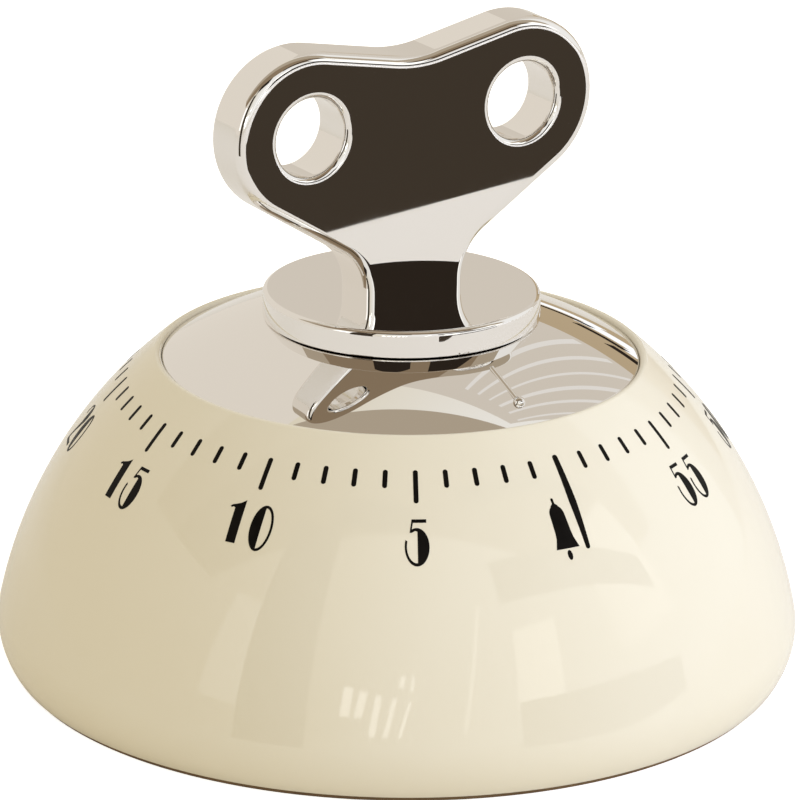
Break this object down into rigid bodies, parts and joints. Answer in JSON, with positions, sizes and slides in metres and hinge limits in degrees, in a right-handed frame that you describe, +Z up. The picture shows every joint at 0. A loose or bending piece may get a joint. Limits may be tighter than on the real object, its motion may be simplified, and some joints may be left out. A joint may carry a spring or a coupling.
{
  "type": "kitchen timer",
  "caption": "Wind-up clockwork kitchen timer: gloss dome housing with a minute scale, chrome key knob with two finger holes over a crowned pointer plate, and a bell movement inside.",
  "frame": {"origin": "centre of the base, on the surface that the timer stands on", "axes": "+Z up along the key's turning axis; the zero mark and the pointer face -Y; the key's broad faces look along -Y and +Y"},
  "size_m": [0.0842, 0.0842, 0.0683],
  "materials": {
    "cream_plastic": "high gloss cream, smooth moulded",
    "dark_plastic": "fine satin texture",
    "foot_rubber": "matt soft rubber",
    "chrome": "mirror polished, warm",
    "chrome_plate": "mirror polished, crowned",
    "steel": "turned and brushed",
    "spring_steel": "blued spring steel",
    "bell_steel": "nickel plated",
    "brass": "stamped brass",
    "nylon": "natural nylon"
  },
  "bodies": {
    "housing": {"dome_shell": "cream_plastic", "base_cover": "dark_plastic", "foot_ring": "foot_rubber", "base_screws": "steel", "lower_plate": "steel", "upper_plate": "steel", "plate_pillars": "steel", "pillar_nuts": "steel", "movement_screws": "steel", "mainspring": "spring_steel", "spring_post": "steel", "bell": "bell_steel", "bell_post": "steel", "bell_screw": "steel", "release_post": "steel", "hammer_spring": "spring_steel"},
    "knob": {"key": "chrome", "collar_disc": "chrome", "dial_plate": "chrome_plate", "knob_screws": "steel", "main_arbor": "steel", "arbor_clip": "steel", "ratchet_wheel": "brass", "release_cam": "steel"},
    "main_wheel": {"main_wheel": "brass", "click_spring": "spring_steel"},
    "click": {"click": "steel"},
    "second_wheel": {"second_wheel": "brass", "second_arbor": "steel"},
    "third_wheel": {"third_wheel": "nylon", "third_arbor": "steel"},
    "escape_wheel": {"escape_wheel": "nylon", "escape_arbor": "steel"},
    "pallet": {"pallet": "nylon", "pallet_staff": "steel", "balance_bar": "steel"},
    "strike_wheel": {"strike_wheel": "steel", "strike_arbor": "steel"},
    "hammer": {"hammer_staff": "steel", "hammer_tail": "steel", "hammer_arm": "steel", "hammer_head": "brass"},
    "release_lever": {"release_lever": "steel"}
  },
  "joints": [
    {"name": "key_turn", "type": "hinge", "parent": "housing", "child": "knob", "pos_m": [0, 0, 0.034], "axis": [0, 0, -1], "range_deg": [0, 355]},
    {"name": "main_wheel_turn", "type": "hinge", "parent": "housing", "child": "main_wheel", "pos_m": [0, 0, 0.0205], "axis": [0, 0, -1], "range_deg": [0, 355]},
    {"name": "second_wheel_turn", "type": "hinge", "parent": "housing", "child": "second_wheel", "pos_m": [-0.01644, -0.00599, 0.0184], "axis": [0, 0, -1], "range_deg": [-2130, 0]},
    {"name": "third_wheel_turn", "type": "hinge", "parent": "housing", "child": "third_wheel", "pos_m": [-0.01078, -0.01565, 0.0229], "axis": [0, 0, -1], "range_deg": [0, 12780]},
    {"name": "escape_wheel_turn", "type": "hinge", "parent": "housing", "child": "escape_wheel", "pos_m": [-0.00009, -0.019, 0.0148], "axis": [0, 0, -1], "range_deg": [-76680, 0]},
    {"name": "strike_wheel_turn", "type": "hinge", "parent": "housing", "child": "strike_wheel", "pos_m": [0.00845, 0.01589, 0.0145], "axis": [0, 0, -1], "range_deg": [-1775, 0]},
    {"name": "click_lift", "type": "hinge", "parent": "main_wheel", "child": "click", "pos_m": [0.00996, 0.00363, 0.0216], "axis": [0, 0, 1], "range_deg": [0, 10], "stiffness_Nm_per_rad": 0.002},
    {"name": "pallet_rock", "type": "hinge", "parent": "housing", "child": "pallet", "pos_m": [0.00545, -0.0182, 0.0161], "axis": [0, 0, 1], "range_deg": [-5, 5]},
    {"name": "hammer_swing", "type": "hinge", "parent": "housing", "child": "hammer", "pos_m": [-0.00255, 0.02427, 0.0145], "axis": [0, 0, 1], "range_deg": [-3, 4.5], "stiffness_Nm_per_rad": 0.002},
    {"name": "release_swing", "type": "hinge", "parent": "housing", "child": "release_lever", "pos_m": [-0.01028, 0.01226, 0.0265], "axis": [0, 0, 1], "range_deg": [-7, 0]}
  ],
  "couplings": [
    {"joint": "main_wheel_turn", "follows": "key_turn", "ratio": 1},
    {"joint": "second_wheel_turn", "follows": "key_turn", "ratio": -6},
    {"joint": "third_wheel_turn", "follows": "key_turn", "ratio": 36},
    {"joint": "escape_wheel_turn", "follows": "key_turn", "ratio": -216},
    {"joint": "strike_wheel_turn", "follows": "key_turn", "ratio": -5}
  ]
}
